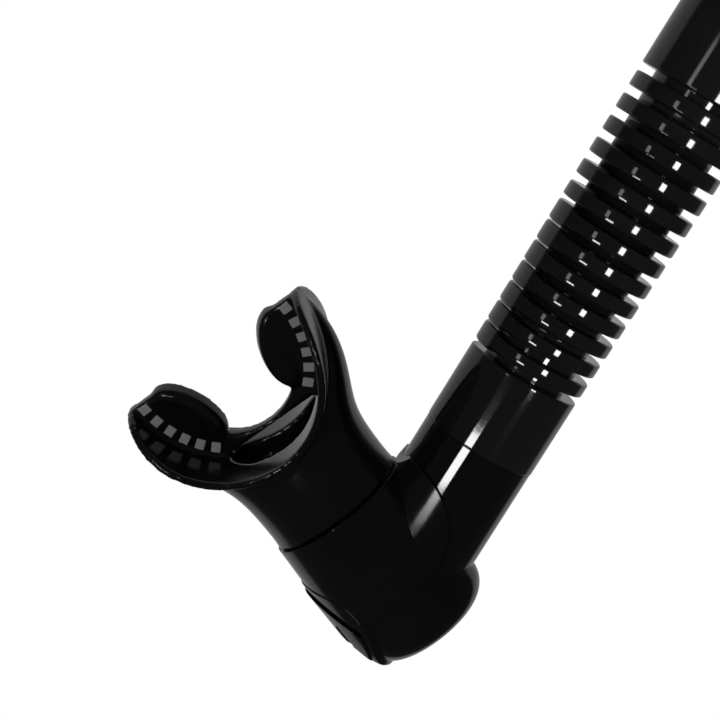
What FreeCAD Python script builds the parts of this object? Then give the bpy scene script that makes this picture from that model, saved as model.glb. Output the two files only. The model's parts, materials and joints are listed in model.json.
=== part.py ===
import FreeCAD, Part

import math
import os

# Snorkel with a flexible ribbed hose. All sizes are millimetres.
# Built round a work origin where the tube axis (+Z) meets the axis of the valve chamber. The chamber axis
# lies in the XZ plane and points to the mouth, towards -X and a little upwards. Before export everything is
# moved so that the origin is the middle of the strap slot in the keeper.

# ---- driving sizes: lower unit ----
mouth_angle = 68.2          # between the tube axis and the chamber axis, degrees
chamber_radius = 17.6       # outside of the valve chamber
chamber_wall = 1.8
chamber_top = 21.5          # along the mouth axis, where the chamber closes round its swivel spigot
chamber_round = 7.0         # radius of the rounded lower end
chamber_bottom = 16.2       # from the work origin to the closed end, away from the mouth
socket_radius = 14.6        # rigid tube that leaves the chamber
socket_top = 40.0           # its shoulder, where the hose cuff starts
nozzle_radius = 12.5        # the part of the tube inside the hose cuff
nozzle_length = 17.0
airway_radius = 9.7         # bore of the tube and of the hose
running_gap = 0.05          # radial, between pieces that turn or slide on each other
seat_gap = 0.05             # between pieces that only touch

collar_radius = 19.4        # at its rim
collar_neck_radius = 18.4   # where it meets the soft neck
collar_top = 23.95
collar_rim = 0.0
shroud_wall = 1.0           # where the collar laps up the sides of the tube
shroud_round = 18.2         # side outline of the shroud
shroud_centre = (5.2, 17.2)     # centre of that outline: across, along the mouth axis

# ---- driving sizes: purge valve, which points straight down ----
purge_x = -4.6
purge_radius = 8.6          # pocket of the seat
purge_seat_level = 10.3     # depth of the seat's inner face under the work origin
purge_seat_thickness = 1.6
purge_rim = 2.0             # wall round the port
purge_lift = 1.6
purge_disc_thickness = 0.8
purge_disc_inset = 0.6
purge_spokes = 6
purge_hub_radius = 2.6
purge_spoke_width = 1.3
purge_cover_radius = 13.8
purge_cover_wall = 1.3
purge_cover_reach = 19.8    # radius of its skin about the chamber axis
purge_cover_drop = 18.7     # lowest point of the cover under the work origin
purge_cover_slots = 5
purge_cover_slot_width = 2.0
purge_slot_margin = 5.2     # plain border round the slots
purge_bezel = 1.5           # frame of the chamber that shows round the cover
purge_round = 7.5           # rounding of the cover and its frame at the chamber's closed end
gasket_thickness = 0.8

# ---- driving sizes: swivel and mouthpiece ----
spigot_radius = 13.9
spigot_wall = 2.9
spigot_top = 33.5
insert_wall = 1.9
insert_top = 31.6
retainer_reach = 0.9
retainer_height = 1.2
ring_section = 0.7          # radius of the O-ring's section
seam = 24.3                 # where the soft neck starts
neck_radius = 18.0
mouth_roll = 8.0            # the mouthpiece rests turned by this much on its swivel
shield_tilt = 6.0           # the lip shield leans towards one side
shield_base = 19.2          # from the seam to the middle of the shield
shield_half_width = 26.5
shield_depth = 29.0
shield_half_height = 17.0
shield_thickness = 1.9
mouth_slot_half_width = 13.6
mouth_slot_half_height = 6.5
bite_width = 6.2            # from the shield to the leaf
bite_thickness = 3.8
bite_low = 7.0              # the band runs along the shield from here to bite_high
bite_high = 30.5
leaf_half_width = 5.6
leaf_half_length = 10.4
leaf_thickness = 5.0
leaf_turn = 20.5            # follows the shield
leaf_lean = 14.0
leaf_middle = (14.6, 21.0)      # across, along the mouth axis

# ---- driving sizes: hose ----
cuff_radius_low = 14.75
cuff_radius_high = 15.75
cuff_low_top = 60.8
cuff_high_length = 25.0
rib_count = 13
first_pitch = 5.6
last_pitch = 6.15
groove_width = 2.1
groove_depth = 3.9
hose_wall_end = 1.2         # rounding of the cuff ends
lower_bend_level = 80.0     # the two hinges that stand in for the hose's bend
upper_bend_level = 120.0

# ---- driving sizes: barrel, keeper and top ----
barrel_radius = 12.5
barrel_wall = 1.6
barrel_top = 376.0
keeper_level = 262.0
bush_height = 17.0
bush_wall = 1.6
ring_height = 14.0
ring_wall = 2.4
rail_width = 9.0
rail_depth = 3.2
loop_height = 34.0
strap_width = 27.0
strap_gap = 5.0
loop_wall = 2.6
loop_length = 12.0
loop_hook_travel = 18.0

head_wall = 1.6
seat_rise = 9.0             # air seat above the barrel's end
seat_radius = 8.6
lever_pivot_x = 15.0
lever_angle = 12.0          # from hanging open to shut
lever_width = 10.0
pin_radius = 1.2
ear_reach = 3.2             # half the size of the ears that hold the pin
ear_thickness = 2.4
ear_gap = 0.6
float_gap = 0.8             # round the float when it hangs
float_width = 18.0
float_depth = 7.8
float_height = 21.0
cap_back = -19.0            # cap outline: from here to cap_front along X
cap_front = 31.5
cap_half_width = 17.5
cap_height = 20.0           # above the air seat
cap_skirt = 30.0            # below the air seat
drain_radius = 1.6
drain_holes = ((20, -4), (20, 4), (25, -6), (25, 6))


def vec(x, y, z):
    return FreeCAD.Vector(x, y, z)


X = vec(1, 0, 0)
Y = vec(0, 1, 0)
Z = vec(0, 0, 1)
ZERO = vec(0, 0, 0)

# In the mouth frame local z runs along the mouth axis and local x away from the mouthpiece, up the tube.
mouth_frame = FreeCAD.Placement(ZERO, FreeCAD.Rotation(Y, -mouth_angle))
roll_frame = mouth_frame.multiply(FreeCAD.Placement(ZERO, FreeCAD.Rotation(Z, -mouth_roll)))
shield_frame = roll_frame.multiply(
    FreeCAD.Placement(vec(0, 0, seam + shield_base), FreeCAD.Rotation(X, shield_tilt)))
purge_frame = FreeCAD.Placement(vec(purge_x, 0, 0), FreeCAD.Rotation(X, 180))


def placed(shape, frame):
    copy = shape.copy()
    copy.Placement = frame.multiply(copy.Placement)
    return copy


def rod(radius, low, high):
    return Part.makeCylinder(radius, high - low, vec(0, 0, low), Z)


def pipe(outer, inner, low, high):
    return rod(outer, low, high).cut(rod(inner, low - 1, high + 1))


def block(x0, x1, y0, y1, z0, z1):
    return Part.makeBox(x1 - x0, y1 - y0, z1 - z0, vec(x0, y0, z0))


def turned(outline):
    """Solid of revolution about Z from (radius, height) corners."""
    points = [vec(r, 0, z) for r, z in outline]
    wire = Part.makePolygon(points + points[:1])
    return Part.Face(wire).revolve(ZERO, Z, 360)


def fused(first, *others):
    return first.fuse(list(others)).removeSplitter()


def ellipse_wire(half_x, half_y, z):
    if abs(half_x - half_y) < 1e-6:
        curve = Part.Circle(vec(0, 0, z), Z, half_x)
    elif half_x > half_y:
        curve = Part.Ellipse(vec(half_x, 0, z), vec(0, half_y, z), vec(0, 0, z))
    else:
        curve = Part.Ellipse(vec(0, half_y, z), vec(-half_x, 0, z), vec(0, 0, z))
    return Part.Wire(curve.toShape())


def stadium(half_length, half_width, low, high):
    """Upright slug with round ends, long along x."""
    middle = half_length - half_width
    body = block(-middle, middle, -half_width, half_width, low, high)
    ends = [rod(half_width, low, high).translated(vec(side * middle, 0, 0)) for side in (-1, 1)]
    return fused(body, *ends)


# ---- valve chamber ----
def chamber_barrel(radius, bottom, top, rounding):
    """Upright cylinder whose lower edge is rounded."""
    arc = Part.Arc(
        vec(radius, 0, bottom + rounding),
        vec(radius - rounding + rounding * math.cos(math.pi / 4), 0,
            bottom + rounding - rounding * math.sin(math.pi / 4)),
        vec(radius - rounding, 0, bottom))
    edges = [
        Part.makeLine(vec(0, 0, bottom), vec(radius - rounding, 0, bottom)),
        arc.toShape(),
        Part.makeLine(vec(radius, 0, bottom + rounding), vec(radius, 0, top)),
        Part.makeLine(vec(radius, 0, top), vec(0, 0, top)),
        Part.makeLine(vec(0, 0, top), vec(0, 0, bottom))]
    return Part.Face(Part.Wire(Part.__sortEdges__(edges))).revolve(ZERO, Z, 360)


def purge_rod(radius, top, bottom):
    """Cylinder about the purge axis, from one depth to a deeper one."""
    return placed(rod(radius, top, bottom), purge_frame)


chamber_outside = placed(
    chamber_barrel(chamber_radius, -chamber_bottom, chamber_top, chamber_round), mouth_frame)
chamber_inside = placed(
    chamber_barrel(chamber_radius - chamber_wall, chamber_wall - chamber_bottom, chamber_top - chamber_wall,
                   chamber_round - chamber_wall), mouth_frame)


def cover_reach(inset):
    """Roll of material about the chamber axis that the purge cover's curved skin is cut from."""
    reach = chamber_barrel(purge_cover_reach - inset, inset - chamber_bottom - 0.6, collar_top, purge_round - inset)
    return placed(reach, mouth_frame)


def make_chamber():
    socket = rod(socket_radius, 0, socket_top)
    nozzle = rod(nozzle_radius, socket_top - 1, socket_top + nozzle_length)
    spigot = placed(rod(spigot_radius, chamber_top - 2, spigot_top), mouth_frame)
    port_wall = purge_rod(purge_radius + purge_rim, purge_seat_level - 1.5, purge_cover_drop).common(chamber_outside)
    bezel = purge_rod(purge_cover_radius + purge_bezel, 4, purge_cover_drop).common(
        cover_reach(purge_cover_reach - collar_radius + 0.2))
    outside = fused(chamber_outside, socket, nozzle, spigot, bezel)
    hollow = fused(chamber_inside, rod(airway_radius, 0, socket_top + nozzle_length + 1))
    hollow = hollow.cut(port_wall)
    hollow = hollow.cut(purge_rod(purge_cover_radius + purge_bezel, purge_cover_drop - 5.2, purge_cover_drop + 5))
    body = outside.cut(hollow)
    body = body.cut(placed(rod(spigot_radius - spigot_wall, 0, spigot_top + 1), mouth_frame).cut(
        purge_rod(purge_cover_radius + 3, purge_seat_level - 1.5, 40)))
    # port, seat pocket and the recess that the cover snaps into
    body = body.cut(purge_rod(purge_radius - 1.4, 2, 30))
    body = body.cut(purge_rod(purge_radius + seat_gap, purge_seat_level - gasket_thickness, 30))
    body = body.cut(purge_rod(purge_cover_radius + seat_gap, purge_cover_drop - 4.6, 30))
    # grooves for the O-ring and the retaining ring of the swivel
    body = body.cut(placed(ring_groove, mouth_frame))
    body = body.cut(placed(retainer_groove, mouth_frame))
    return body


ring_level = chamber_top + 5.5
ring_groove = pipe(spigot_radius + 1, spigot_radius - 2 * ring_section - seat_gap, ring_level - ring_section - 0.1,
                   ring_level + ring_section + 0.1)
retainer_level = insert_top + 0.1
retainer_groove = pipe(spigot_radius + 1, spigot_radius - retainer_reach, retainer_level,
                       retainer_level + retainer_height)


def make_collar():
    sleeve = Part.makeCone(collar_radius, collar_neck_radius, collar_top - collar_rim, vec(0, 0, collar_rim), Z)
    side = Part.makeCylinder(shroud_round, 60, vec(shroud_centre[0], -30, shroud_centre[1]), Y)
    side = side.common(block(0, 60, -30, 30, collar_rim, collar_top))
    shroud = rod(socket_radius + shroud_wall, 0, 60).common(placed(side, mouth_frame))
    sleeve = placed(sleeve, mouth_frame).fuse(shroud)
    sleeve = sleeve.cut(placed(rod(chamber_radius + seat_gap, -40, chamber_top + seat_gap), mouth_frame))
    sleeve = sleeve.cut(placed(rod(spigot_radius + insert_wall + 0.6, 0, 40), mouth_frame))
    sleeve = sleeve.cut(rod(socket_radius + seat_gap, 0, 60))
    sleeve = sleeve.cut(purge_rod(purge_cover_radius + purge_bezel + seat_gap, 2, 40))
    return keep_largest(sleeve)


def keep_largest(shape):
    return sorted(shape.Solids, key=lambda solid: solid.Volume)[-1]


# ---- purge valve ----
def make_purge_seat():
    level = purge_seat_level
    rim = pipe(purge_radius, purge_radius - 1.4, level, level + purge_seat_thickness)
    hub = rod(purge_hub_radius, level, level + purge_seat_thickness)
    spokes = []
    for index in range(purge_spokes):
        arm = block(1, purge_radius - 0.7, -purge_spoke_width / 2, purge_spoke_width / 2, level,
                    level + purge_seat_thickness)
        arm.rotate(ZERO, Z, index * 360 / purge_spokes)
        spokes.append(arm)
    seat = fused(rim, hub, *spokes).cut(rod(1.1, level - 1, level + 5))
    return placed(seat, purge_frame)


def make_seat_gasket():
    level = purge_seat_level
    return placed(pipe(purge_radius, purge_radius - 1.4, level - gasket_thickness + seat_gap, level), purge_frame)


def make_purge_disc():
    level = purge_seat_level + purge_seat_thickness + seat_gap
    disc = rod(purge_radius - purge_disc_inset, level, level + purge_disc_thickness)
    stem = rod(1.05, purge_seat_level - 3.6, level + 0.2)
    knob = turned([(0, purge_seat_level - 4.8), (1.0, purge_seat_level - 4.8),
                   (1.7, purge_seat_level - purge_lift - 0.6), (0, purge_seat_level - purge_lift - 0.6)])
    return placed(fused(disc, stem, knob), purge_frame)


def make_purge_cover():
    top = purge_cover_drop - 4.6 + seat_gap
    skin = purge_rod(purge_cover_radius, top, purge_cover_drop).common(cover_reach(0))
    hollow = purge_rod(purge_cover_radius - purge_cover_wall, top - 1, purge_cover_drop - purge_cover_wall)
    cover = skin.cut(hollow.common(cover_reach(purge_cover_wall)))
    field = purge_cover_radius - purge_slot_margin
    pitch = 2 * (field - 0.3 * purge_cover_slot_width) / (purge_cover_slots - 1)
    for index in range(purge_cover_slots):
        y = (index - (purge_cover_slots - 1) / 2) * pitch
        half = math.sqrt(field ** 2 - y ** 2)
        slot = block(-half, half, y - purge_cover_slot_width / 2, y + purge_cover_slot_width / 2,
                     purge_cover_drop - 3.2, purge_cover_drop + 1)
        cover = cover.cut(placed(slot, purge_frame))
    return keep_largest(cover)


# ---- swivel ----
def make_swivel_insert():
    inner = spigot_radius + running_gap
    outer = inner + insert_wall
    sleeve = pipe(outer, inner, seam + seat_gap, insert_top)
    barb = turned([(outer - 0.4, seam + 3), (outer + 0.8, seam + 3), (outer - 0.4, seam + 5)])
    return placed(fused(sleeve, barb).cut(rod(inner, 0, 60)), mouth_frame)


def make_swivel_ring():
    centre = spigot_radius - ring_section
    return placed(Part.makeTorus(centre, ring_section - 0.02, vec(0, 0, ring_level), Z), mouth_frame)


def make_retainer():
    inner = spigot_radius - retainer_reach + seat_gap
    clip = pipe(spigot_radius + retainer_reach, inner, retainer_level + seat_gap,
                retainer_level + retainer_height - seat_gap)
    gap = block(0, 30, -2.5, 2.5, retainer_level - 1, retainer_level + 4)
    return placed(clip.cut(gap), mouth_frame)


# ---- mouthpiece, in the frame of the rolled neck and in the frame of the tilted shield ----
def make_mouthpiece():
    neck_sections = [(0.05, 18.0, 18.0), (5, 17.7, 17.7), (10, 17.9, 17.4), (15, 18.6, 16.6), (20, 20.4, 15.6),
                     (26, 23.4, 14.6), (33, 26.0, 13.0), (41, 27.0, 9.5), (47, 26.4, 5.0)]
    wires = [ellipse_wire(half_x * neck_radius / 18, half_y * neck_radius / 18, seam + z)
             for z, half_x, half_y in neck_sections]
    body = placed(Part.makeLoft(wires, True, False), roll_frame)
    body = body.cut(placed(shield_hollow(), shield_frame))
    body = body.fuse(placed(make_shield(), shield_frame))
    for side in (-1, 1):
        body = body.fuse(placed(make_bite(side), shield_frame))
    # the airway: a round neck that narrows to the mouth slot
    insert_outside = spigot_radius + running_gap + insert_wall
    body = body.cut(placed(rod(insert_outside + seat_gap, seam - 1, insert_top + 2.2), roll_frame))
    barb_room = pipe(insert_outside + 0.85, insert_outside - 1, seam + 2.9, seam + 5.1)
    body = body.cut(placed(barb_room, roll_frame))
    throat = Part.makeLoft([
        ellipse_wire(insert_outside, insert_outside, insert_top + 2.1),
        ellipse_wire(mouth_slot_half_width, mouth_slot_half_height + 2, seam + shield_base - 4),
        ellipse_wire(mouth_slot_half_width, mouth_slot_half_height, seam + shield_base)], True, False)
    body = body.cut(placed(throat, roll_frame))
    body = body.cut(placed(stadium(mouth_slot_half_width, mouth_slot_half_height, -2, bite_low - 1), shield_frame))
    return keep_largest(body.removeSplitter())


def shield_arch(inset, half_height):
    """Elliptic arch about the mouth, open away from the neck, as a slug along y."""
    half_width = shield_half_width - inset
    depth = shield_depth - inset
    wire = ellipse_wire(max(half_width, depth), min(half_width, depth), 0)
    slug = Part.Face(wire).extrude(vec(0, 0, 2 * half_height))
    if depth > half_width:
        slug.rotate(ZERO, Z, 90)
    slug.translate(vec(0, 0, -half_height))
    slug.rotate(ZERO, X, 90)
    slug.translate(vec(0, 0, shield_depth))
    return slug


def shield_hollow():
    arch = shield_arch(shield_thickness, 40)
    beyond = block(-60, 60, -40, 40, shield_depth, 90)
    beyond = beyond.common(block(-(shield_half_width - shield_thickness), shield_half_width - shield_thickness,
                                 -40, 40, 0, 90))
    return arch.fuse(beyond)


def make_shield():
    strip = shield_arch(0, shield_half_height).cut(shield_arch(shield_thickness, 40))
    strip = strip.cut(block(-60, 60, -40, 40, shield_depth + 2, 90))
    straight = 11.0
    outline = ellipse_wire(shield_half_height + 2.5, shield_half_height, 0)
    rounded = Part.Face(outline).extrude(vec(0, 0, 80))
    rounded.rotate(ZERO, Y, 90)
    rounded.translate(vec(-40, 0, straight))
    outline_block = block(-40, 40, -shield_half_height, shield_half_height, -5, straight)
    return strip.common(outline_block.fuse(rounded))


def make_bite(side):
    """Bite band along the inside of the shield and the rounded leaf that leans in from it."""
    inner = shield_arch(shield_thickness - 0.3, bite_thickness / 2)
    core = shield_arch(shield_thickness + bite_width, 40)
    band = inner.cut(core).common(block(0, 40, -20, 20, bite_low, bite_high))
    leaf = Part.Face(ellipse_wire(leaf_half_width, leaf_half_length, 0)).extrude(vec(0, 0, leaf_thickness))
    leaf = leaf.makeFillet(leaf_thickness * 0.3, leaf.Edges[:1] + leaf.Edges[2:])
    leaf.translate(vec(0, 0, -leaf_thickness / 2))
    leaf.rotate(ZERO, X, 90)
    leaf.rotate(ZERO, Z, leaf_lean)
    leaf.rotate(ZERO, Y, leaf_turn)
    leaf.translate(vec(leaf_middle[0], 0, leaf_middle[1]))
    piece = band.fuse(leaf)
    if side < 0:
        piece = piece.mirror(ZERO, X)
    return piece


# ---- hose ----
corrugation_length = rib_count * (first_pitch + last_pitch) / 2
cuff_high_low = cuff_low_top + corrugation_length + groove_width
cuff_high_top = cuff_high_low + cuff_high_length
barrel_low = cuff_high_low + 3.0


def hose_radius(z):
    share = (z - socket_top) / (cuff_high_low - socket_top)
    return cuff_radius_low + (cuff_radius_high - cuff_radius_low) * min(max(share, 0), 1)


def rib_edges():
    """Heights of the lower and upper face of each rib."""
    edges = []
    level = cuff_low_top
    for index in range(rib_count):
        pitch = first_pitch + (last_pitch - first_pitch) * index / (rib_count - 1)
        edges.append((level + groove_width, level + pitch))
        level += pitch
    return edges


def make_hose():
    low = socket_top + seat_gap
    outside = [(hose_radius(low), low), (hose_radius(cuff_low_top), cuff_low_top),
               (hose_radius(cuff_low_top) - groove_depth, cuff_low_top)]
    for bottom, top in rib_edges():
        radius = hose_radius((bottom + top) / 2)
        outside += [(radius - groove_depth, bottom), (radius, bottom), (radius, top), (radius - groove_depth, top)]
    radius = cuff_radius_high
    outside += [(radius - groove_depth, cuff_high_low), (radius, cuff_high_low),
                (radius, cuff_high_top - hose_wall_end), (radius - hose_wall_end, cuff_high_top)]
    nozzle_end = socket_top + nozzle_length + seat_gap
    inside = [(barrel_radius + seat_gap, cuff_high_top), (barrel_radius + seat_gap, barrel_low - seat_gap),
              (airway_radius, barrel_low - seat_gap), (airway_radius, nozzle_end),
              (nozzle_radius + seat_gap, nozzle_end), (nozzle_radius + seat_gap, low)]
    return turned(outside + inside)


# ---- barrel and keeper ----
def make_barrel():
    return pipe(barrel_radius, barrel_radius - barrel_wall, barrel_low, barrel_top)


bush_inner = barrel_radius + running_gap
bush_outer = bush_inner + bush_wall
ring_inner = bush_outer + running_gap
ring_outer = ring_inner + ring_wall
rail_inner = -(ring_outer - 0.6)
rail_outer = rail_inner - rail_depth
loop_back = rail_outer - 0.3
slot_near = loop_back - loop_wall
slot_far = slot_near - strap_gap
keeper_low = keeper_level - bush_height / 2


def make_keeper_bush():
    body = pipe(bush_outer, bush_inner, keeper_level - ring_height / 2 - running_gap,
                keeper_level + ring_height / 2 + running_gap)
    flange = (bush_height - ring_height) / 2
    top = pipe(bush_outer + 1.4, bush_inner, keeper_level + ring_height / 2 + running_gap,
               keeper_level + ring_height / 2 + flange)
    bottom = pipe(bush_outer + 1.4, bush_inner, keeper_low, keeper_level - ring_height / 2 - running_gap)
    return fused(body, top, bottom)


def rail_shape(grow, low, high):
    """Dovetail that widens away from the tube, with its sides and top grown by a clearance."""
    narrow = rail_width / 2 - 1.4 + grow
    wide = rail_width / 2 + grow
    outline = Part.makePolygon([
        vec(rail_inner, narrow, low), vec(rail_outer - grow, wide, low), vec(rail_outer - grow, -wide, low),
        vec(rail_inner, -narrow, low), vec(rail_inner, narrow, low)])
    return Part.Face(outline).extrude(vec(0, 0, high - low))


def make_keeper_ring():
    low = keeper_level - ring_height / 2
    high = keeper_level + ring_height / 2
    ring = pipe(ring_outer, ring_inner, low, high)
    rail = rail_shape(0, low, high)
    stop = block(rail_outer, rail_inner + 0.5, -rail_width / 2 - 1.0, rail_width / 2 + 1.0, low, low + 1.6)
    return fused(ring, rail.cut(rod(ring_inner + 0.2, low - 1, high + 1)),
                 stop.cut(rod(ring_inner + 0.2, low - 1, high + 1)))


def make_strap_loop():
    low = keeper_level - ring_height / 2 + 1.6 + running_gap
    high = keeper_level + ring_height / 2 + 1.5
    half = rail_width / 2 + 2.6
    carriage = block(slot_near, rail_inner - 0.9, -half, half, low, high)
    carriage = carriage.cut(rail_shape(0.12, low - 1, high - 1.4))
    carriage = carriage.cut(rod(ring_outer + 0.25, low - 1, high + 1))
    frame = block(slot_far - loop_wall, loop_back, -loop_length / 2, loop_length / 2,
                  keeper_level - loop_height / 2, keeper_level + loop_height / 2)
    opening = block(slot_far, slot_near, -loop_length, loop_length, keeper_level - strap_width / 2 - 1,
                    keeper_level + strap_width / 2 + 1)
    loop = frame.cut(opening)
    corner = [edge for edge in loop.Edges if abs(edge.tangentAt(edge.FirstParameter).y) > 0.99
              and edge.BoundBox.XMax < slot_far - loop_wall + 0.1]
    loop = loop.makeFillet(loop_wall * 0.9, corner)
    loop = loop.cut(rail_shape(0.12, low - 1, high - 1.4))
    return fused(loop, carriage)


# ---- dry top ----
seat_level = barrel_top + seat_rise
pivot_level = seat_level + 4.5
cap_middle = (cap_back + cap_front) / 2
cap_half_length = (cap_front - cap_back) / 2
head_low = seat_level - cap_skirt       # the socket takes the barrel from here up
head_radius = barrel_radius + seat_gap + head_wall


open_frame = FreeCAD.Placement(
    ZERO, FreeCAD.Rotation(Y, lever_angle), vec(lever_pivot_x, 0, pivot_level))


def between(side, inner, outer):
    """Low and high y of a plate on one side of the middle plane."""
    return sorted((side * inner, side * outer))


def make_head_base():
    socket = pipe(head_radius, barrel_radius + seat_gap, head_low, barrel_top + seat_gap)
    neck_top = seat_level - 1.5
    neck = pipe(head_radius, seat_radius + seat_gap, barrel_top + seat_gap, neck_top)
    flange = stadium(cap_half_length - head_wall - seat_gap, cap_half_width - head_wall - seat_gap,
                     head_low, head_low + 2).translated(vec(cap_middle, 0, 0))
    arms = []
    for side in (-1, 1):
        y0, y1 = between(side, lever_width / 2 + ear_gap, lever_width / 2 + ear_gap + ear_thickness)
        arms.append(block(lever_pivot_x - ear_reach, lever_pivot_x + ear_reach, y0, y1,
                          pivot_level - ear_reach, pivot_level + ear_reach))
        arms.append(block(seat_radius + 1.4, head_radius - 0.2, y0, y1, barrel_top + 2, pivot_level))
    base = fused(socket, neck, flange, *arms)
    base = base.cut(rod(barrel_radius + seat_gap, head_low - 5, barrel_top + seat_gap))
    base = base.cut(rod(seat_radius + seat_gap, barrel_top, neck_top + 1))
    for x, y in drain_holes:
        base = base.cut(rod(drain_radius, head_low - 1, head_low + 3).translated(vec(x, y, 0)))
    pin_hole = Part.makeCylinder(pin_radius + running_gap / 2, 40, vec(lever_pivot_x, -20, pivot_level), Y)
    return base.cut(pin_hole)


def make_air_seat():
    rim = turned([(seat_radius - 1.6, barrel_top + seat_gap), (seat_radius, barrel_top + seat_gap),
                  (seat_radius, seat_level - 1.5 + seat_gap), (seat_radius + 1.2, seat_level - 1.5 + seat_gap),
                  (seat_radius + 1.2, seat_level - 0.8), (seat_radius - 0.4, seat_level),
                  (seat_radius - 1.6, seat_level - 0.6)])
    return rim


plate_level = seat_level + 2.6       # underside of the lever's plate when shut
plate_thickness = 1.6
stem_x = lever_pivot_x + 2.0
stem_thickness = 2.0
float_top = pivot_level - ear_reach - float_gap
float_near = head_radius + float_gap


def make_lever():
    top = plate_level + plate_thickness
    plate = rod(seat_radius, plate_level, top)
    arm = block(0, lever_pivot_x, -lever_width / 2, lever_width / 2, plate_level, top)
    plate = placed(plate.fuse(arm).cut(rod(2.2, plate_level - 1, top + 1)), open_frame)
    hub = Part.makeCylinder(2.8, lever_width, vec(lever_pivot_x, -lever_width / 2, pivot_level), Y)
    stem = block(stem_x, stem_x + stem_thickness, -lever_width / 2, lever_width / 2, float_top - 4,
                 pivot_level)
    lever = fused(plate, hub, stem)
    return lever.cut(Part.makeCylinder(pin_radius + running_gap, 40, vec(lever_pivot_x, -20, pivot_level), Y))


def make_seal_pad():
    pad = rod(seat_radius, plate_level - 2.0, plate_level - seat_gap)
    stem = rod(2.15, plate_level - 1, plate_level + plate_thickness + 0.8)
    button = rod(3.4, plate_level + plate_thickness + seat_gap, plate_level + plate_thickness + 1.2)
    return placed(fused(pad, stem, button), open_frame)


def make_float():
    body = block(float_near, float_near + float_depth, -float_width / 2, float_width / 2,
                 float_top - float_height, float_top)
    body = body.makeFillet(2.0, body.Edges)
    pocket = block(stem_x - seat_gap, stem_x + stem_thickness + seat_gap, -lever_width / 2 - seat_gap,
                   lever_width / 2 + seat_gap, float_top - 4 - seat_gap, float_top + 5)
    return body.cut(pocket)


def make_hinge_pin():
    half = lever_width / 2 + ear_gap + ear_thickness
    return Part.makeCylinder(pin_radius, 2 * half, vec(lever_pivot_x, -half, pivot_level), Y)


def make_cap():
    low = seat_level - cap_skirt
    high = seat_level + cap_height
    middle = FreeCAD.Placement(vec(cap_middle, 0, 0), FreeCAD.Rotation())
    outside = stadium(cap_half_length, cap_half_width, low, high)
    top_edges = [edge for edge in outside.Edges if edge.BoundBox.ZMin > high - 0.01]
    outside = outside.makeFillet(5.0, top_edges)
    inside = stadium(cap_half_length - head_wall, cap_half_width - head_wall, low - 1, high - head_wall)
    top_edges = [edge for edge in inside.Edges if edge.BoundBox.ZMin > high - head_wall - 0.01]
    inside = inside.makeFillet(3.5, top_edges)
    cap = placed(outside.cut(inside), middle)
    for index in range(4):
        z = low + 7 + index * 4.5
        for x in (-6, 17):
            slot = block(x - 6, x + 6, -40, 40, z, z + 2.2)
            cap = cap.cut(slot)
    for index in range(3):
        z = seat_level + 2 + index * 4.2
        cap = cap.cut(block(-40, cap_back + 4, -8, 8, z, z + 2.0))
    return cap


parts = {
    "valve_chamber": make_chamber(),
    "chamber_collar": make_collar(),
    "purge_seat": make_purge_seat(),
    "purge_seat_gasket": make_seat_gasket(),
    "purge_disc": make_purge_disc(),
    "purge_cover": make_purge_cover(),
    "swivel_insert": make_swivel_insert(),
    "swivel_o_ring": make_swivel_ring(),
    "swivel_retaining_ring": make_retainer(),
    "mouthpiece": make_mouthpiece(),
    "flex_hose": make_hose(),
    "barrel": make_barrel(),
    "keeper_bush": make_keeper_bush(),
    "keeper_ring": make_keeper_ring(),
    "strap_loop": make_strap_loop(),
    "top_base": make_head_base(),
    "air_seat": make_air_seat(),
    "float_lever": make_lever(),
    "seal_pad": make_seal_pad(),
    "float": make_float(),
    "lever_pin": make_hinge_pin(),
    "top_cap": make_cap(),
}

slot_middle = vec((slot_near + slot_far) / 2, 0, keeper_level)
os.makedirs("parts", exist_ok=True)
for name, shape in parts.items():
    shape.translate(-slot_middle)
    shape.exportStep("parts/" + name + ".step")
    print(name, len(shape.Solids), "solids", round(shape.Volume, 1), "valid", shape.isValid())
print("hose hinges at", lower_bend_level, upper_bend_level, "and strap loop travel", loop_hook_travel)
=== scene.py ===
# %% [markdown]
# # A snorkel with a ribbed hose and a dry top
# The hard parts of this snorkel arrive finished from the drawing office: every moulding is its own
# node, already in place. Blender's work is what a drawing leaves out, so this lesson gives each
# moulding its finish, and builds the two soft parts, the mouthpiece and the ribbed hose, in place of
# their plain stand-ins.

import json
import math

import bmesh
import bpy
from mathutils import Matrix, Vector


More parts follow.
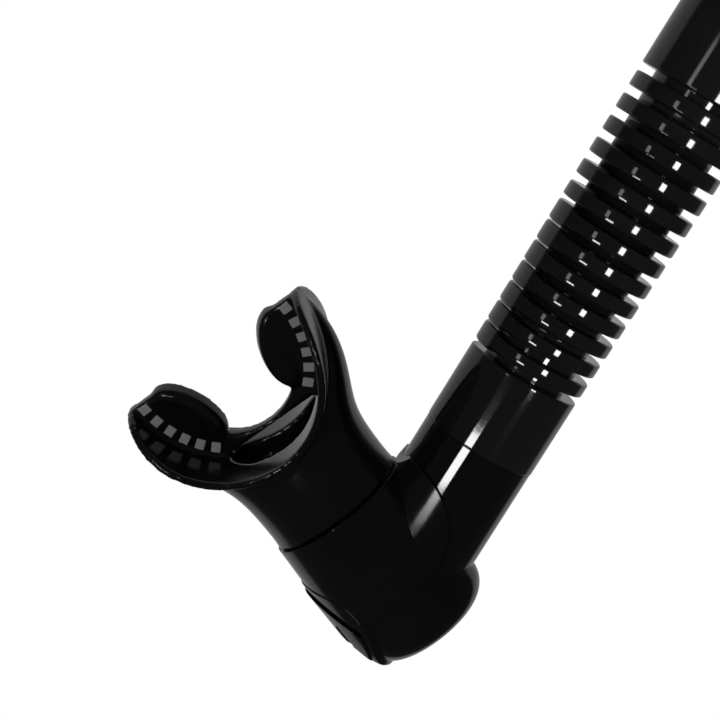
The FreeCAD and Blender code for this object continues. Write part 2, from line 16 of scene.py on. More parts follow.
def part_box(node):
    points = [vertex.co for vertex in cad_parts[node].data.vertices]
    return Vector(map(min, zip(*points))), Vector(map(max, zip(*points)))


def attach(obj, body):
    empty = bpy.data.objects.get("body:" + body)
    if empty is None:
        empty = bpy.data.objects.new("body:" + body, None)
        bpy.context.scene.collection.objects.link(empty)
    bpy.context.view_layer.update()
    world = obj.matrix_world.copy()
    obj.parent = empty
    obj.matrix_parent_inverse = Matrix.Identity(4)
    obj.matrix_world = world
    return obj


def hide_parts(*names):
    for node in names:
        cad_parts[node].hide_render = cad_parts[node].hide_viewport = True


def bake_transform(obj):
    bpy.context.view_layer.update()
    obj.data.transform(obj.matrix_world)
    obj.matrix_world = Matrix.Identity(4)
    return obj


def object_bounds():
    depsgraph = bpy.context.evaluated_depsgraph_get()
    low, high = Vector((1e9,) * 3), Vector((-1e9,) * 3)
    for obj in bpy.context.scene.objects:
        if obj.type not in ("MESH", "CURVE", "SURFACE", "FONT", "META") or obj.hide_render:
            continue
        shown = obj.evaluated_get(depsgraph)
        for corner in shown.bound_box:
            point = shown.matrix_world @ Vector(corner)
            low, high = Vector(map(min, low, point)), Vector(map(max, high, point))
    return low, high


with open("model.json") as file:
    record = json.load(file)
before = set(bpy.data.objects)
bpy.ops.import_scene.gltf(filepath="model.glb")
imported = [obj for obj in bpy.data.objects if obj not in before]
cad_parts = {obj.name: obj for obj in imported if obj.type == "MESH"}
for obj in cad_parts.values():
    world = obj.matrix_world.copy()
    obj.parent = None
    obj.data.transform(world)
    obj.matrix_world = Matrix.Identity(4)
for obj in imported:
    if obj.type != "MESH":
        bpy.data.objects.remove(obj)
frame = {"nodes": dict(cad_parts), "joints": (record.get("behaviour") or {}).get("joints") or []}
cad_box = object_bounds()
mm = 0.001
print("overall size in mm", [round(v / mm) for v in cad_box[1] - cad_box[0]])

# %% [markdown]
# ## Where the elbow is
# Everything soft on this snorkel meets at the elbow, where the axis of the tube crosses the axis of
# the mouthpiece. The swivel joint sits exactly there and turns about the mouthpiece's axis, so the
# frame itself says where to build. Two small frames follow: one along the tube, one along the mouth.

# %% The elbow and the mouth frame
joints = {joint["name"]: joint for joint in frame["joints"]}
elbow = Vector(joints["mouthpiece_swivel"]["pos_m"])
mouth_axis = Vector(joints["mouthpiece_swivel"]["axis"]).normalized()
across_mouth = Vector((0, 1, 0))
up_mouth = across_mouth.cross(mouth_axis)
mouth_frame = Matrix.Translation(elbow) @ Matrix((up_mouth, across_mouth, mouth_axis)).transposed().to_4x4()
print("elbow at", [round(v, 4) for v in elbow], "mouth axis", [round(v, 3) for v in mouth_axis])

# %% [markdown]
# ## The camera
# A long lens from close by keeps the tube's edges nearly parallel, as in a catalogue picture. The
# camera is leaned over by about a third of a right angle, so that the upright tube crosses the
# picture from the lower middle to the upper right corner.

# %% Camera
camera_azimuth = math.radians(-7.8)
camera_elevation = math.radians(10.0)
camera_lean = math.radians(31.5)
camera_distance = 0.5
aim_right, aim_up = -8.9 * mm, 54.1 * mm      # from the elbow to the middle of the view

back = Vector((math.sin(camera_azimuth) * math.cos(camera_elevation),
               -math.cos(camera_azimuth) * math.cos(camera_elevation), math.sin(camera_elevation)))
level = Vector((0, 0, 1)).cross(back).normalized()
rise = back.cross(level)
view_right = level * math.cos(camera_lean) + rise * math.sin(camera_lean)
view_up = rise * math.cos(camera_lean) - level * math.sin(camera_lean)

lens = bpy.data.cameras.new("camera")
lens.lens, lens.sensor_width = 100.0, 36.0
lens.clip_start, lens.clip_end = 0.01, 50.0
camera = bpy.data.objects.new("camera", lens)
bpy.context.scene.collection.objects.link(camera)
camera.location = elbow + back * camera_distance + view_right * aim_right + view_up * aim_up
camera.rotation_euler = Matrix((view_right, view_up, back)).transposed().to_euler()
bpy.context.scene.camera = camera
print("camera at", [round(v, 3) for v in camera.location])

# %% [markdown]
# ## Sums with sockets
# A finish is a small calculation that runs at every point of a surface, and wiring it by hand hides
# the sum. Here one class wraps a socket and answers to plus, minus, times and divide by adding Math
# nodes, and one method adds any other node with its settings first and then its inputs. The same pair of
# tools builds the Geometry Nodes trees further down.

# %% A socket that does sums, and a tree that adds nodes
class Flow:
    """The output of a node, which can be used in a Python sum."""

    def __init__(self, tree, node, output=0):
        self.tree, self.node, self.socket = tree, node, node.outputs[output]

    def out(self, output):
        return Flow(self.tree, self.node, output)

    def math(self, operation, first, second):
        return self.tree.add("ShaderNodeMath", {"operation": operation}, {0: first, 1: second})

    def __add__(self, other):
        return self.math("ADD", self, other)

    def __sub__(self, other):
        return self.math("SUBTRACT", self, other)

    def __rsub__(self, other):
        return self.math("SUBTRACT", other, self)

    def __mul__(self, other):
        return self.math("MULTIPLY", self, other)

    def __truediv__(self, other):
        return self.math("DIVIDE", self, other)

    __radd__ = __add__
    __rmul__ = __mul__


class Tree:
    """A node tree and the one method that adds to it."""

    def __init__(self, nodes):
        self.nodes = nodes

    def add(self, kind, settings=None, inputs=None, output=0):
        node = self.nodes.nodes.new(kind)
        for name, value in (settings or {}).items():
            if name == "stops":
                for element, (place, shade) in zip(node.color_ramp.elements, value):
                    element.position, element.color = place, (shade, shade, shade, 1)
            else:
                setattr(node, name, value)
        for name, value in (inputs or {}).items():
            if isinstance(value, Flow):
                self.nodes.links.new(value.socket, node.inputs[name])
            else:
                node.inputs[name].default_value = value
        return Flow(self, node, output) if node.outputs else node


print("socket sums ready")

# %% [markdown]
# ## Finishes
# The whole snorkel is black, so its materials differ in how they shine. Polished mouldings carry a
# clear mirror-like skin with faint handling marks. Silicone is softer and picks up a fine bloom of
# dust and smears. All of them start from one recipe: a near-black body, cloudy roughness from two
# sizes of noise, sparse specks of dust, and a very slight waviness that bends the reflections the
# way a real moulding does. Edges get a small shaded rounding, because no moulded edge is sharp.

# %% The moulding recipe
edge_rounding = 0.3 * mm
dust_shade = 0.02
ripple_height = 0.4 * mm


def moulded(name, shade, tint, gloss, smear, wave, wave_size):
    """A moulded surface. gloss is its lowest roughness, smear how much handling marks add to it."""
    material = bpy.data.materials.new(name)
    material.use_nodes = True
    tree = Tree(material.node_tree)
    tree.nodes.nodes.clear()
    place = tree.add("ShaderNodeTexCoord", output="Object")
    cloud = tree.add("ShaderNodeTexNoise", {}, {"Vector": place, "Scale": 55.0, "Detail": 4.0})
    grain = tree.add("ShaderNodeTexNoise", {}, {"Vector": place, "Scale": 900.0, "Detail": 2.0})
    specks = tree.add("ShaderNodeTexVoronoi", {}, {"Vector": place, "Scale": 700.0})
    marks = tree.add("ShaderNodeValToRGB", {"stops": ((0.45, 0.0), (0.75, 1.0))}, {"Fac": cloud})
    motes = tree.add("ShaderNodeValToRGB", {"stops": ((0.03, 1.0), (0.10, 0.0))}, {"Fac": specks})
    bare, dusty = (shade * t for t in tint), (shade * t + dust_shade for t in tint)
    colour = tree.add("ShaderNodeMix", {"data_type": "RGBA"},
                      {"Factor": motes * 0.5 + marks * 0.25, 6: (*bare, 1), 7: (*dusty, 1)}, output=2)
    roughness = marks * smear + grain * (smear * 0.3) + gloss
    swell = tree.add("ShaderNodeTexNoise", {}, {"Vector": place, "Scale": wave_size, "Detail": 1.0})
    rounded = tree.add("ShaderNodeBevel", {"samples": 4}, {"Radius": edge_rounding})
    bump = tree.add("ShaderNodeBump", {}, {"Strength": wave, "Distance": ripple_height,
                                           "Height": swell + grain * 0.02, "Normal": rounded})
    shader = tree.add("ShaderNodeBsdfPrincipled", {},
                      {"Base Color": colour, "Roughness": roughness, "Normal": bump, "IOR": 1.5})
    tree.add("ShaderNodeOutputMaterial", {}, {"Surface": shader})
    return material


cool_black = (1.0, 1.0, 1.08)
polished_black = moulded("polished_black", 0.009, cool_black, gloss=0.03, smear=0.05, wave=0.12,
                         wave_size=28.0)
collar_black = moulded("collar_black", 0.010, cool_black, gloss=0.06, smear=0.12, wave=0.15, wave_size=40.0)
hose_black = moulded("hose_black", 0.009, cool_black, gloss=0.04, smear=0.05, wave=0.15, wave_size=60.0)
mouth_black = moulded("mouth_black", 0.010, cool_black, gloss=0.13, smear=0.10, wave=0.2, wave_size=45.0)
plain_black = moulded("plain_black", 0.02, cool_black, gloss=0.30, smear=0.10, wave=0.2, wave_size=30.0)
print("black finishes", [m.name for m in bpy.data.materials if m.name.endswith("_black")])

# %% [markdown]
# ## The float and the pin
# Two pieces inside the dry top are not black mouldings. The float is closed-cell foam, whose skin
# is a mass of tiny burst bubbles, and the pin is drawn wire with fine lines along its length.

# %% Foam and wire
def float_foam():
    material = bpy.data.materials.new("float_foam")
    material.use_nodes = True
    tree = Tree(material.node_tree)
    tree.nodes.nodes.clear()
    place = tree.add("ShaderNodeTexCoord", output="Object")
    cells = tree.add("ShaderNodeTexVoronoi", {}, {"Vector": place, "Scale": 1400.0})
    cloud = tree.add("ShaderNodeTexNoise", {}, {"Vector": place, "Scale": 90.0})
    colour = tree.add("ShaderNodeMix", {"data_type": "RGBA"},
                      {"Factor": cloud * 0.6 + cells * 0.3,
                       6: (0.78, 0.77, 0.72, 1), 7: (0.62, 0.61, 0.57, 1)}, output=2)
    bump = tree.add("ShaderNodeBump", {}, {"Strength": 0.6, "Distance": 0.3 * mm, "Height": cells})
    shader = tree.add("ShaderNodeBsdfPrincipled", {},
                      {"Base Color": colour, "Roughness": cells * 0.2 + 0.6, "Normal": bump})
    tree.add("ShaderNodeOutputMaterial", {}, {"Surface": shader})
    return material


def drawn_wire():
    material = bpy.data.materials.new("drawn_wire")
    material.use_nodes = True
    tree = Tree(material.node_tree)
    tree.nodes.nodes.clear()
    place = tree.add("ShaderNodeTexCoord", output="Object")
    stretched = tree.add("ShaderNodeMapping", {}, {"Vector": place, "Scale": (3000.0, 60.0, 3000.0)})
    lines = tree.add("ShaderNodeTexNoise", {}, {"Vector": stretched, "Scale": 1.0, "Detail": 3.0})
    bump = tree.add("ShaderNodeBump", {}, {"Strength": 0.3, "Distance": 0.05 * mm, "Height": lines})
    colour = tree.add("ShaderNodeMix", {"data_type": "RGBA"},
                      {"Factor": lines, 6: (0.52, 0.52, 0.54, 1), 7: (0.68, 0.68, 0.69, 1)}, output=2)
    shader = tree.add("ShaderNodeBsdfPrincipled", {},
                      {"Base Color": colour, "Metallic": 1.0, "Roughness": lines * 0.2 + 0.2, "Normal": bump})
    tree.add("ShaderNodeOutputMaterial", {}, {"Surface": shader})
    return material


foam, wire = float_foam(), drawn_wire()
print("inner finishes", foam.name, wire.name)

# %% [markdown]
# ## Dressing the mouldings
# Each node from the drawing office already has one material slot. Putting a new material in that
# slot changes its look and leaves its shape alone.

# %% Give every moulding its finish
finish_of = {
    "valve_chamber": polished_black, "chamber_collar": collar_black, "purge_cover": polished_black,
    "purge_seat": plain_black, "purge_seat_gasket": mouth_black, "purge_disc": mouth_black,
    "swivel_insert": plain_black, "swivel_o_ring": mouth_black, "swivel_retaining_ring": plain_black,
    "mouthpiece": mouth_black, "flex_hose": hose_black, "barrel": polished_black,
    "keeper_bush": plain_black, "keeper_ring": plain_black, "strap_loop": plain_black,
    "top_base": plain_black, "air_seat": plain_black, "float_lever": plain_black,
    "seal_pad": mouth_black, "float": foam, "lever_pin": wire, "top_cap": polished_black,
}
for name, material in finish_of.items():
    node = frame["nodes"][name]
    node.data.materials.clear()
    node.data.materials.append(material)
print("nodes dressed", len(finish_of), "of", len(frame["nodes"]))

# %% [markdown]
# ## The floor and the room
# A black glossy object is a mirror, so the room matters more than the floor. The camera sees plain
# white. Reflections see a grey wall behind the snorkel, which draws a pale edge down the sides of
# the tube, and a nearly dark room in front, which keeps the black black. The floor is plain and
# pale, and neither takes a shadow nor shows in the gloss.

# %% Floor
floor_radius = 8.0
floor_mesh = bpy.data.meshes.new("floor")
form = bmesh.new()
bmesh.ops.create_circle(form, cap_ends=True, segments=64, radius=floor_radius)
form.to_mesh(floor_mesh)
form.free()
floor = bpy.data.objects.new("floor", floor_mesh)
floor.location = (0, 0, cad_box[0].z - 0.5 * mm)
bpy.context.scene.collection.objects.link(floor)
floor_white = bpy.data.materials.new("floor_white")
floor_white.use_nodes = True
floor_tree = Tree(floor_white.node_tree)
floor_tree.nodes.nodes.clear()
glow = floor_tree.add("ShaderNodeEmission", {}, {"Color": (1, 1, 1, 1), "Strength": 1.0})
floor_tree.add("ShaderNodeOutputMaterial", {}, {"Surface": glow})
floor_mesh.materials.append(floor_white)
floor.visible_glossy = False
floor.visible_shadow = False
floor.visible_diffuse = False
print("floor at", round(floor.location.z, 4))

# %% Room
world = bpy.data.worlds.new("room")
bpy.context.scene.world = world
world.use_nodes = True
room = Tree(world.node_tree)
room.nodes.nodes.clear()
facing = room.add("ShaderNodeTexCoord", output="Generated")
pale_wall = room.add("ShaderNodeVectorMath", {"operation": "DOT_PRODUCT"},
                     {0: facing, 1: (-0.133, 0.99, 0.0)}, output="Value")
wall = room.add("ShaderNodeMapRange", {"interpolation_type": "SMOOTHSTEP"},
                {"Value": pale_wall, "From Min": 0.30, "From Max": 0.46, "To Min": 0.05, "To Max": 0.42})
eye = room.add("ShaderNodeLightPath", output="Is Camera Ray")
seen = room.add("ShaderNodeBackground", {}, {"Color": (1, 1, 1, 1), "Strength": 1.0})
mirrored = room.add("ShaderNodeBackground", {}, {"Color": (1, 1, 1, 1), "Strength": wall})
both = room.add("ShaderNodeMixShader", {}, {0: eye, 1: mirrored, 2: seen})
room.add("ShaderNodeOutputWorld", {}, {"Surface": both})
bpy.context.scene.view_settings.view_transform = "Standard"
print("room ready")

# %% [markdown]
# ## Lights
# Two tall strip lights stand well back, either side of the camera. Each draws one upright bar down
# the round tube, and where the bar crosses a rib it becomes the small bright block that makes
# rubber look moulded. The right-hand strip is far the stronger. A third lamp stands low, and draws
# the bright bar on the rigid socket under the hose.

# %% Strip lights
def strip_light(name, turn, distance, width, low, high, radiance):
    """An upright softbox. turn is its angle from the camera's side of the tube, to the right."""
    angle = camera_azimuth + math.radians(turn)
    toward = Vector((math.sin(angle), -math.cos(angle), 0))
    height = high - low
    lamp = bpy.data.lights.new(name, "AREA")
    lamp.shape = "RECTANGLE"
    lamp.size, lamp.size_y = width, height
    lamp.energy = radiance * math.pi * width * height
    light = bpy.data.objects.new(name, lamp)
    light.location = elbow + toward * distance + Vector((0, 0, (low + high) / 2))
    light.rotation_euler = toward.to_track_quat("Z", "Y").to_euler()
    bpy.context.scene.collection.objects.link(light)
    return light


key_strip = strip_light("key_strip", turn=29, distance=3.0, width=0.52, low=-0.34, high=0.36, radiance=26)
strip_light("fill_strip", turn=-29, distance=3.0, width=0.34, low=-0.34, high=0.30, radiance=3)
strip_light("low_lamp", turn=-20, distance=3.0, width=0.80, low=-0.60, high=-0.475, radiance=24)

# %% [markdown]
# ## The ribbed hose
# A snorkel hose is a bellows: a soft inner wall with a stack of square ribs round it, and a plain
# cuff at each end. The ribs get slightly taller up the hose. Geometry Nodes are right for this,
# because one rounded ring is drawn once and then stood on a ladder of points. On the side that
# faces the mouthpiece the lower ribs are moulded fuller, which leaves only a thin line between
# them. The hose bends at two places when it is used. Here it is made in two lengths that meet
# inside a groove, where the change from one to the next can't be seen.

# %% Hose measures
cuff_low_radius, cuff_high_radius = 14.75 * mm, 15.75 * mm
cuff_low_start, cuff_low_end = 40.05 * mm, 60.8 * mm
rib_count, split_after, full_ribs = 13, 7, 7
first_pitch, last_pitch = 5.6 * mm, 6.15 * mm
groove_width, groove_depth = 2.1 * mm, 3.9 * mm
rib_root, rib_rounding, rib_fullness = 0.4 * mm, 0.5 * mm, 0.42     # root: how far a rib sinks into the wall
seat_gap = 0.05 * mm
airway_radius, nozzle_radius, nozzle_end = 9.7 * mm, 12.55 * mm, 57.05 * mm
barrel_radius = (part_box("barrel")[1].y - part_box("barrel")[0].y) / 2
barrel_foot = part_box("barrel")[0].z - elbow.z
hose_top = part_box("flex_hose")[1].z - elbow.z
pitch_growth = (last_pitch - first_pitch) / (rib_count - 1)


def rib_foot(index):
    """Height of the lower face of a rib above the elbow."""
    return cuff_low_end + groove_width + index * first_pitch + pitch_growth * index * (index - 1) / 2


def hose_radius(level):
    share = (level - cuff_low_end) / (cuff_high_start - cuff_low_end)
    return cuff_low_radius + (cuff_high_radius - cuff_low_radius) * min(max(share, 0.0), 1.0)


cuff_high_start = rib_foot(rib_count)
split_level = rib_foot(split_after) - groove_width / 2
print("hose runs from", round(cuff_low_start / mm), "to", round(hose_top / mm), "mm above the elbow")

# %% The rib ladder as a Geometry Nodes tree
NUMBER, WHOLE, MATERIAL = "NodeSocketFloat", "NodeSocketInt", "NodeSocketMaterial"


def geometry_tree(name, inputs):
    """An empty Geometry Nodes tree with one geometry output, and its named inputs."""
    group = bpy.data.node_groups.new(name, "GeometryNodeTree")
    group.interface.new_socket("Geometry", in_out="OUTPUT", socket_type="NodeSocketGeometry")
    for label, kind in inputs:
        group.interface.new_socket(label, in_out="INPUT", socket_type=kind)
    tree = Tree(group)
    return tree, tree.add("NodeGroupInput")


ribs, ask = geometry_tree("rib_ladder", [
    ("Ribs", WHOLE), ("Full Ribs", WHOLE), ("First Foot", NUMBER), ("First Pitch", NUMBER),
    ("Pitch Growth", NUMBER), ("Groove", NUMBER), ("First Radius", NUMBER), ("Radius Growth", NUMBER),
    ("Depth", NUMBER), ("Edge Rounding", NUMBER), ("Fullness", NUMBER), ("Finish", MATERIAL)])
first_tall = ask.out("First Pitch") - ask.out("Groove")
section = ribs.add("GeometryNodeCurvePrimitiveQuadrilateral", {},
                   {"Width": ask.out("Depth"), "Height": first_tall})
soft_section = ribs.add("GeometryNodeFilletCurve", {"mode": "POLY"},
                        {"Curve": section, "Count": 4, "Radius": ask.out("Edge Rounding")})
round_path = ribs.add("GeometryNodeCurvePrimitiveCircle", {}, {
    "Resolution": 128, "Radius": ask.out("First Radius") - ask.out("Depth") * 0.5})
ring = ribs.add("GeometryNodeCurveToMesh", {}, {"Curve": round_path, "Profile Curve": soft_section})
print("a rib ring takes", len(ribs.nodes.nodes), "nodes")

# %% A second ring, fuller on the side of the mouthpiece
where = ribs.add("GeometryNodeInputPosition")
split = ribs.add("ShaderNodeSeparateXYZ", {}, {0: where})
reach = ribs.add("ShaderNodeVectorMath", {"operation": "LENGTH"}, {
    0: ribs.add("ShaderNodeCombineXYZ", {}, {"X": split.out("X"), "Y": split.out("Y")})}, output="Value")
mouth_side = ribs.add("ShaderNodeMapRange", {"interpolation_type": "SMOOTHSTEP"}, {
    "Value": split.out("X") / reach * -1.0, "From Min": 0.80, "From Max": 0.86})
swelling = ribs.add("ShaderNodeCombineXYZ", {}, {
    "Z": split.out("Z") * mouth_side * ask.out("Fullness")})
full_ring = ribs.add("GeometryNodeSetPosition", {}, {"Geometry": ring, "Offset": swelling})
choice = ribs.add("GeometryNodeGeometryToInstance")
for shape in (ring, full_ring):                # the last one linked becomes number 0
    ribs.nodes.links.new(shape.socket, choice.node.inputs[0])
print("ring choices linked", len(choice.node.inputs[0].links))

# %% Stand the rings on the ladder
index = ribs.add("GeometryNodeInputIndex")
steps = ribs.add("GeometryNodeMeshLine", {}, {"Count": ask.out("Ribs")})
pitch = ask.out("First Pitch") + index * ask.out("Pitch Growth")
tall = pitch - ask.out("Groove")
climbed = index * ask.out("First Pitch") + ask.out("Pitch Growth") * index * (index - 1) * 0.5
here = ribs.add("ShaderNodeCombineXYZ", {}, {"Z": ask.out("First Foot") + climbed + tall * 0.5})
standing = ribs.add("GeometryNodeSetPosition", {}, {"Geometry": steps, "Position": here})
wider = index * ask.out("Radius Growth") / ask.out("First Radius") + 1.0
size = ribs.add("ShaderNodeCombineXYZ", {}, {"X": wider, "Y": wider, "Z": tall / first_tall})
is_plain = index.math("GREATER_THAN", index, ask.out("Full Ribs") - 0.5)
placed = ribs.add("GeometryNodeInstanceOnPoints", {}, {
    "Points": standing, "Instance": choice, "Pick Instance": True, "Instance Index": is_plain, "Scale": size})
real = ribs.add("GeometryNodeRealizeInstances", {}, {"Geometry": placed})
smooth = ribs.add("GeometryNodeSetShadeSmooth", {}, {"Geometry": real})
done = ribs.add("GeometryNodeSetMaterial", {}, {"Geometry": smooth, "Material": ask.out("Finish")})
ribs.add("NodeGroupOutput", {}, {"Geometry": done})
print("the ladder has", len(ribs.nodes.nodes), "nodes")


# %% Run a tree and keep its mesh
def grown(name, tree, values):
    """Runs a Geometry Nodes tree with these inputs and returns its result as a plain mesh."""
    group = tree.nodes
    host = bpy.data.objects.new(name, bpy.data.meshes.new(name + "_seed"))
    bpy.context.scene.collection.objects.link(host)
    modifier = host.modifiers.new(name, "NODES")
    modifier.node_group = group
    ids = {item.name: item.identifier for item in group.interface.items_tree if item.in_out == "INPUT"}
    for label, value in values.items():
        modifier[ids[label]] = value
    bpy.context.view_layer.update()
    evaluated = host.evaluated_get(bpy.context.evaluated_depsgraph_get())
    mesh = bpy.data.meshes.new_from_object(evaluated)
    host.modifiers.clear()
    bpy.data.objects.remove(host)
    return mesh


def rib_stack(name, first, last, full):
    """The ribs from first to last, in a frame whose middle is the elbow."""
    foot = rib_foot(first)
    return grown(name, ribs, {
        "Ribs": last - first, "Full Ribs": full, "First Foot": foot,
        "First Pitch": first_pitch + pitch_growth * first, "Pitch Growth": pitch_growth,
        "Groove": groove_width, "First Radius": hose_radius(foot + first_pitch / 2),
        "Radius Growth": (cuff_high_radius - cuff_low_radius) / (rib_count + 1),
        "Depth": groove_depth + rib_root, "Edge Rounding": rib_rounding, "Fullness": rib_fullness,
        "Finish": hose_black})


low_ribs = rib_stack("low_ribs", 0, split_after, full_ribs)
high_ribs = rib_stack("high_ribs", split_after, rib_count, 0)
for mesh in (low_ribs, high_ribs):
    heights = [v.co.z / mm for v in mesh.vertices]
    print(mesh.name, "runs from", round(min(heights), 1), "to", round(max(heights), 1), "mm,",
          len(mesh.polygons), "faces")

# %% [markdown]
# ## Cuffs and core
# What is left of the hose is a plain turned shape: a cuff, and the thin wall that carries the ribs.
# A turned shape is an outline carried round an axis. Each corner of the outline is given a small
# round, and a pair of rings close to it keeps the shading flat in between.


# %% Turn an outline
def rounded_outline(corners, steps=4):
    """Rounds each (radius, height, rounding) corner of a closed outline."""
    points = []
    for i, (r, z, rounding) in enumerate(corners):
        corner = Vector((r, z))
        before = Vector(corners[i - 1][:2]) - corner
        after = Vector(corners[(i + 1) % len(corners)][:2]) - corner
        if rounding == 0:
            points.append(corner)
            continue
        reach = min(rounding, before.length * 0.45, after.length * 0.45)
        start, end = corner + before.normalized() * reach, corner + after.normalized() * reach
        points.append(corner + before.normalized() * min(reach * 1.4, before.length * 0.49))
        for k in range(steps + 1):
            t = k / steps
            points.append(start * (1 - t) ** 2 + corner * (2 * t * (1 - t)) + end * t ** 2)
        points.append(corner + after.normalized() * min(reach * 1.4, after.length * 0.49))
    return points


def turned(name, corners, material, steps=128):
    """Closed solid of revolution about the tube's axis, in the elbow's frame."""
    outline = rounded_outline(corners)
    form = bmesh.new()
    rings = [[form.verts.new((p[0] * math.cos(a), p[0] * math.sin(a), p[1])) for p in outline]
             for a in (2 * math.pi * k / steps for k in range(steps))]
    for k in range(steps):
        near, far = rings[k], rings[(k + 1) % steps]
        for i in range(len(outline)):
            j = (i + 1) % len(outline)
            form.faces.new((near[i], far[i], far[j], near[j]))
    bmesh.ops.recalc_face_normals(form, faces=form.faces)
    mesh = bpy.data.meshes.new(name)
    form.to_mesh(mesh)
    form.free()
    for face in mesh.polygons:
        face.use_smooth = True
    mesh.materials.append(material)
    return mesh


def joined(name, place, *meshes):
    """One object from several meshes, moved to its place with its own origin left at zero."""
    form = bmesh.new()
    for mesh in meshes:
        form.from_mesh(mesh)
    bmesh.ops.transform(form, matrix=place, verts=form.verts)
    whole = bpy.data.meshes.new(name)
    form.to_mesh(whole)
    form.free()
    whole.materials.append(meshes[0].materials[0])
    piece = bpy.data.objects.new(name, whole)
    bpy.context.scene.collection.objects.link(piece)
    return piece


core_low = hose_radius(cuff_low_end) - groove_depth
core_split = hose_radius(split_level) - groove_depth
core_high = cuff_high_radius - groove_depth
cuff_low_end_radius = hose_radius(cuff_low_end)
low_wall = turned("low_wall", [
    (nozzle_radius, cuff_low_start, 0), (cuff_low_radius, cuff_low_start, 0.35 * mm),
    (cuff_low_end_radius, cuff_low_end, 0.5 * mm), (core_low, cuff_low_end, 0.2 * mm),
    (core_split, split_level, 0), (airway_radius, split_level, 0),
    (airway_radius, nozzle_end, 0), (nozzle_radius, nozzle_end, 0)], hose_black)
bore = barrel_radius + seat_gap
high_wall = turned("high_wall", [
    (airway_radius, split_level, 0), (core_split, split_level, 0), (core_high, cuff_high_start, 0.2 * mm),
    (cuff_high_radius, cuff_high_start, 0.5 * mm), (cuff_high_radius, hose_top, 1.2 * mm),
    (bore, hose_top, 0), (bore, barrel_foot - seat_gap, 0), (airway_radius, barrel_foot - seat_gap, 0)],
    hose_black)
print("walls", len(low_wall.polygons), len(high_wall.polygons), "faces")

# %% Join each length into one piece, and hide the plain stand-in
at_elbow = Matrix.Translation(elbow)
lower_hose = joined("hose_lower", at_elbow, low_wall, low_ribs)
upper_hose = joined("hose_upper", at_elbow, high_wall, high_ribs)


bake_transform(upper_hose)
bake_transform(lower_hose)
for piece in (upper_hose, lower_hose):
    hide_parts("flex_hose")
print("hose lengths", [o.name for o in (lower_hose, upper_hose)])

# %% [markdown]
# ## The mouthpiece
# A mouthpiece is one casting of soft silicone: a round neck that flattens into a curved lip shield,
# with two bite bands inside it. Casting leaves no sharp corner anywhere, and every junction flows
# into the next. Modelling those blends by hand is slow. It is quicker to take the drawing office's
# solid, rebuild its skin as an even fine grid with a voxel remesh, and let the grid relax, which
# rounds every edge and fills every inside corner the way liquid silicone would.

# %% Remesh and relax the casting
skin_cell = 0.5 * mm
relax_rounds = 10


def relaxed_copy(node_name, piece_name, cell, rounds, material):
    """A copy of a node with its skin remade as an even grid, and its edges relaxed."""
    form = bmesh.new()
    form.from_mesh(frame["nodes"][node_name].data)
    bmesh.ops.remove_doubles(form, verts=form.verts, dist=0.001 * mm)
    mesh = bpy.data.meshes.new(piece_name + "_solid")
    form.to_mesh(mesh)
    form.free()
    host = bpy.data.objects.new(piece_name + "_host", mesh)
    bpy.context.scene.collection.objects.link(host)
    skin = host.modifiers.new("skin", "REMESH")
    skin.mode, skin.voxel_size, skin.use_smooth_shade = "VOXEL", cell, True
    relax = host.modifiers.new("relax", "SMOOTH")
    relax.factor, relax.iterations = 0.5, rounds
    bpy.context.view_layer.update()
    evaluated = host.evaluated_get(bpy.context.evaluated_depsgraph_get())
    result = bpy.data.meshes.new_from_object(evaluated)
    bpy.data.objects.remove(host)
    result.materials.clear()
    result.materials.append(material)
    for face in result.polygons:
        face.use_smooth = True
    piece = bpy.data.objects.new(piece_name, result)
    bpy.context.scene.collection.objects.link(piece)
    print(piece_name, len(result.polygons), "faces")
    return piece


casting = relaxed_copy("mouthpiece", "mouthpiece_casting", skin_cell, relax_rounds, mouth_black)
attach(casting, "mouth_unit")
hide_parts("mouthpiece")

# %% [markdown]
# ## Grip blocks on the bite bands
# Teeth slide on smooth silicone, so a row of small square blocks stands on both faces of each bite
# band. They follow the curve of the lip shield, which is an ellipse, so a rule can place them: an
# angle for each block, the ellipse's point at that angle, and a turn to face along the curve.

# %% The shield's own frame and its measures
shield_base, shield_roll, shield_tilt = 43.5 * mm, math.radians(-8.0), math.radians(6.0)
shield_half_width, shield_depth = 26.5 * mm, 29.0 * mm
shield_frame = (mouth_frame @ Matrix.Rotation(shield_roll, 4, "Z")
                @ Matrix.Translation((0, 0, shield_base)) @ Matrix.Rotation(shield_tilt, 4, "X"))
blocks_per_row, band_rows = 6, 4
block_side, block_height, block_squash = 2.7 * mm, 1.4 * mm, 0.86
block_inset, block_level, block_softness = 4.6 * mm, 1.55 * mm, 0.22 * mm
first_block, block_step = math.radians(41.0), math.radians(9.7)
print("shield middle at", [round(v, 4) for v in shield_frame.translation])

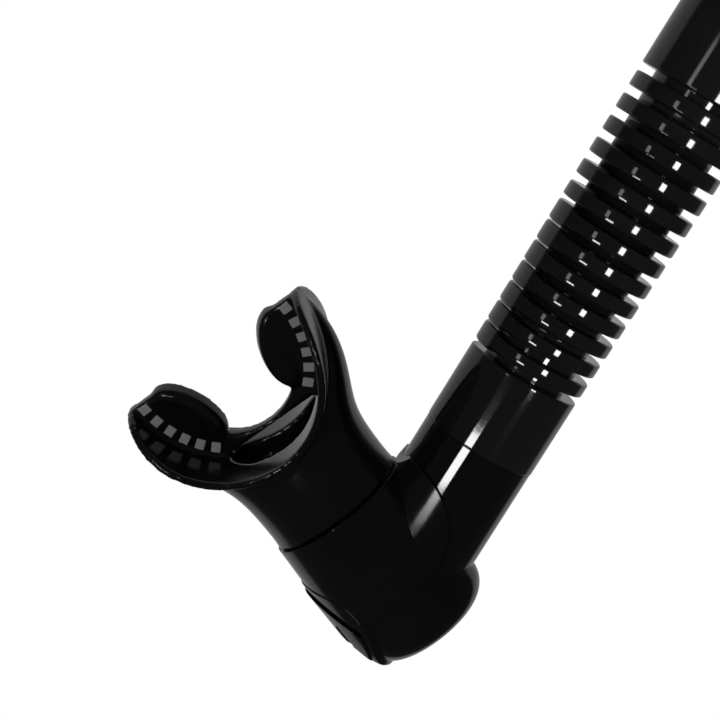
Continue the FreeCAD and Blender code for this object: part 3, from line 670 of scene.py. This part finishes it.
# %% The block rows as a Geometry Nodes tree
rows, want = geometry_tree("block_rows", [
    ("Blocks", WHOLE), ("Half Width", NUMBER), ("Depth", NUMBER), ("Inset", NUMBER),
    ("First Angle", NUMBER), ("Step", NUMBER), ("Face", NUMBER), ("Block", NUMBER),
    ("Height", NUMBER), ("Finish", MATERIAL)])
count = rows.add("GeometryNodeInputIndex")
one = count.math("MODULO", count, want.out("Blocks"))
row = count.math("FLOOR", count / want.out("Blocks"), 0)
side = 1.0 - row.math("MODULO", row, 2) * 2.0
face = 1.0 - row.math("FLOOR", row * 0.5, 0) * 2.0
angle = want.out("First Angle") + one * want.out("Step")
half_width, depth = want.out("Half Width") - want.out("Inset"), want.out("Depth") - want.out("Inset")
sine, cosine = angle.math("SINE", angle, 0), angle.math("COSINE", angle, 0)
spot = rows.add("ShaderNodeCombineXYZ", {}, {
    "X": half_width * sine * side, "Y": face * want.out("Face"), "Z": want.out("Depth") - depth * cosine})
heading = angle.math("ARCTAN2", half_width * cosine * side, depth * sine)
turn = rows.add("FunctionNodeEulerToRotation", {}, {0: rows.add("ShaderNodeCombineXYZ", {}, {"Y": heading})})
line = rows.add("GeometryNodeMeshLine", {}, {"Count": want.out("Blocks") * float(band_rows)})
spots = rows.add("GeometryNodeSetPosition", {}, {"Geometry": line, "Position": spot})
block_size = rows.add("ShaderNodeCombineXYZ", {}, {
    "X": want.out("Block"), "Y": want.out("Height"), "Z": want.out("Block") * block_squash})
block = rows.add("GeometryNodeMeshCube", {}, {"Size": block_size})
stood = rows.add("GeometryNodeInstanceOnPoints", {}, {"Points": spots, "Instance": block, "Rotation": turn})
solid = rows.add("GeometryNodeRealizeInstances", {}, {"Geometry": stood})
cast = rows.add("GeometryNodeSetMaterial", {}, {"Geometry": solid, "Material": want.out("Finish")})
rows.add("NodeGroupOutput", {}, {"Geometry": cast})
print("the block tree has", len(rows.nodes.nodes), "nodes")

# %% Stand the blocks on the bands
block_mesh = grown("bite_blocks_rows", rows, {
    "Blocks": blocks_per_row, "Half Width": shield_half_width, "Depth": shield_depth,
    "Inset": block_inset, "First Angle": first_block, "Step": block_step, "Face": block_level,
    "Block": block_side, "Height": block_height, "Finish": mouth_black})
blocks = joined("bite_blocks", shield_frame, block_mesh)
soften = blocks.modifiers.new("soften", "BEVEL")
soften.width, soften.segments, soften.limit_method = block_softness, 2, "ANGLE"
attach(blocks, "mouth_unit")
print("blocks", len(block_mesh.polygons) // 6)

# %% [markdown]
# ## Keep the key strip on the hose and barrel
# The key strip would also draw a bright bar down the valve chamber. A studio would hang dark cards
# to stop it. Here the light has a list of the objects it reaches, which is stricter than a card:
# nothing off the list gets any of its light, from any side.

# %% The objects the key strip reaches
reached = bpy.data.collections.new("key_strip_reaches")
for name in ("hose_lower", "hose_upper", "barrel"):
    reached.objects.link(bpy.data.objects[name])
key_strip.light_linking.receiver_collection = reached
